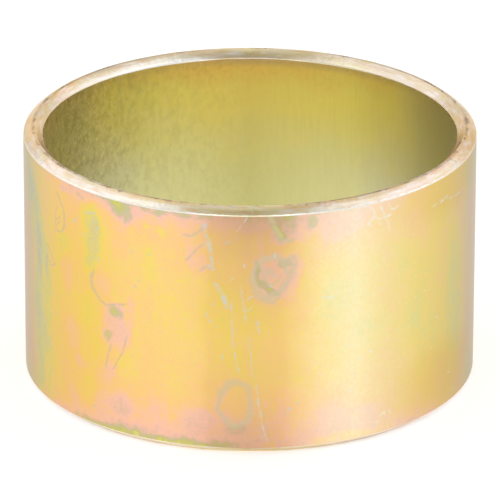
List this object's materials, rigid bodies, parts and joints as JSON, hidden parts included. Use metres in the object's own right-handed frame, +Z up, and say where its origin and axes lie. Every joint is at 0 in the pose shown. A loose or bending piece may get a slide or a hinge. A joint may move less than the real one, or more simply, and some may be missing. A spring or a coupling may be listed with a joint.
{
  "type": "hitch ball reducer bushing",
  "caption": "Plain round steel sleeve with bevelled ends and a yellow zinc finish, which reduces a hitch ball hole to a smaller shank.",
  "frame": {"origin": "middle of the lower end, in the plane of its land", "axes": "+Z up the bore; the part is the same either way up and all the way round"},
  "size_m": [0.035, 0.035, 0.02],
  "materials": {
    "yellow_zinc_steel": "yellow chromate over zinc plate, with a faint rainbow, stains and fine scratches"
  },
  "bodies": {
    "root": {"reducer_bushing": "yellow_zinc_steel"}
  },
  "joints": []
}
